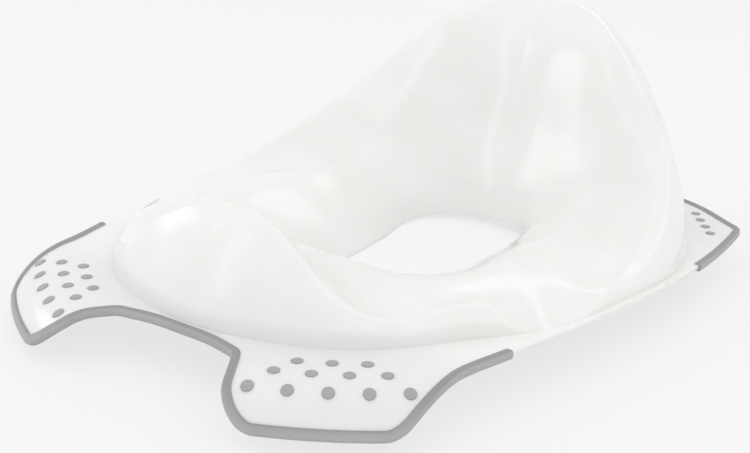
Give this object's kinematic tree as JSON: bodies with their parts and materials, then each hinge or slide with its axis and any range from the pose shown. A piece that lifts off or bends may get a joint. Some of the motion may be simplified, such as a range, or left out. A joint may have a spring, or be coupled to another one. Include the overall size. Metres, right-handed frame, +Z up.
{
  "type": "toilet seat reducer",
  "caption": "Child's toilet seat reducer: moulded bowl seat with a high backrest and a splash guard, flat wings with soft studs, and rubber edge grips.",
  "frame": {"origin": "on the level of the bowl's lower edge, under the middle of the part's length and width", "axes": "+X is the sitter's left, +Y runs to the backrest, +Z is up"},
  "size_m": [0.3082, 0.3962, 0.1396],
  "materials": {
    "shell": "smooth moulded",
    "grips": "matt soft moulded",
    "studs": "matt soft moulded"
  },
  "bodies": {
    "root": {"seat_shell": "shell", "front_edge_grip": "grips", "rear_edge_grip": "grips", "front_left_stud_01": "studs", "front_left_stud_02": "studs", "front_left_stud_03": "studs", "front_left_stud_04": "studs", "front_left_stud_05": "studs", "front_left_stud_06": "studs", "front_left_stud_07": "studs", "front_left_stud_08": "studs", "front_left_stud_09": "studs", "front_left_stud_10": "studs", "front_left_stud_11": "studs", "front_left_stud_12": "studs", "front_right_stud_01": "studs", "front_right_stud_02": "studs", "front_right_stud_03": "studs", "front_right_stud_04": "studs", "front_right_stud_05": "studs", "front_right_stud_06": "studs", "front_right_stud_07": "studs", "front_right_stud_08": "studs", "front_right_stud_09": "studs", "front_right_stud_10": "studs", "front_right_stud_11": "studs", "front_right_stud_12": "studs", "rear_left_stud_01": "studs", "rear_left_stud_02": "studs", "rear_left_stud_03": "studs", "rear_left_stud_04": "studs", "rear_right_stud_01": "studs", "rear_right_stud_02": "studs", "rear_right_stud_03": "studs", "rear_right_stud_04": "studs"}
  },
  "joints": []
}
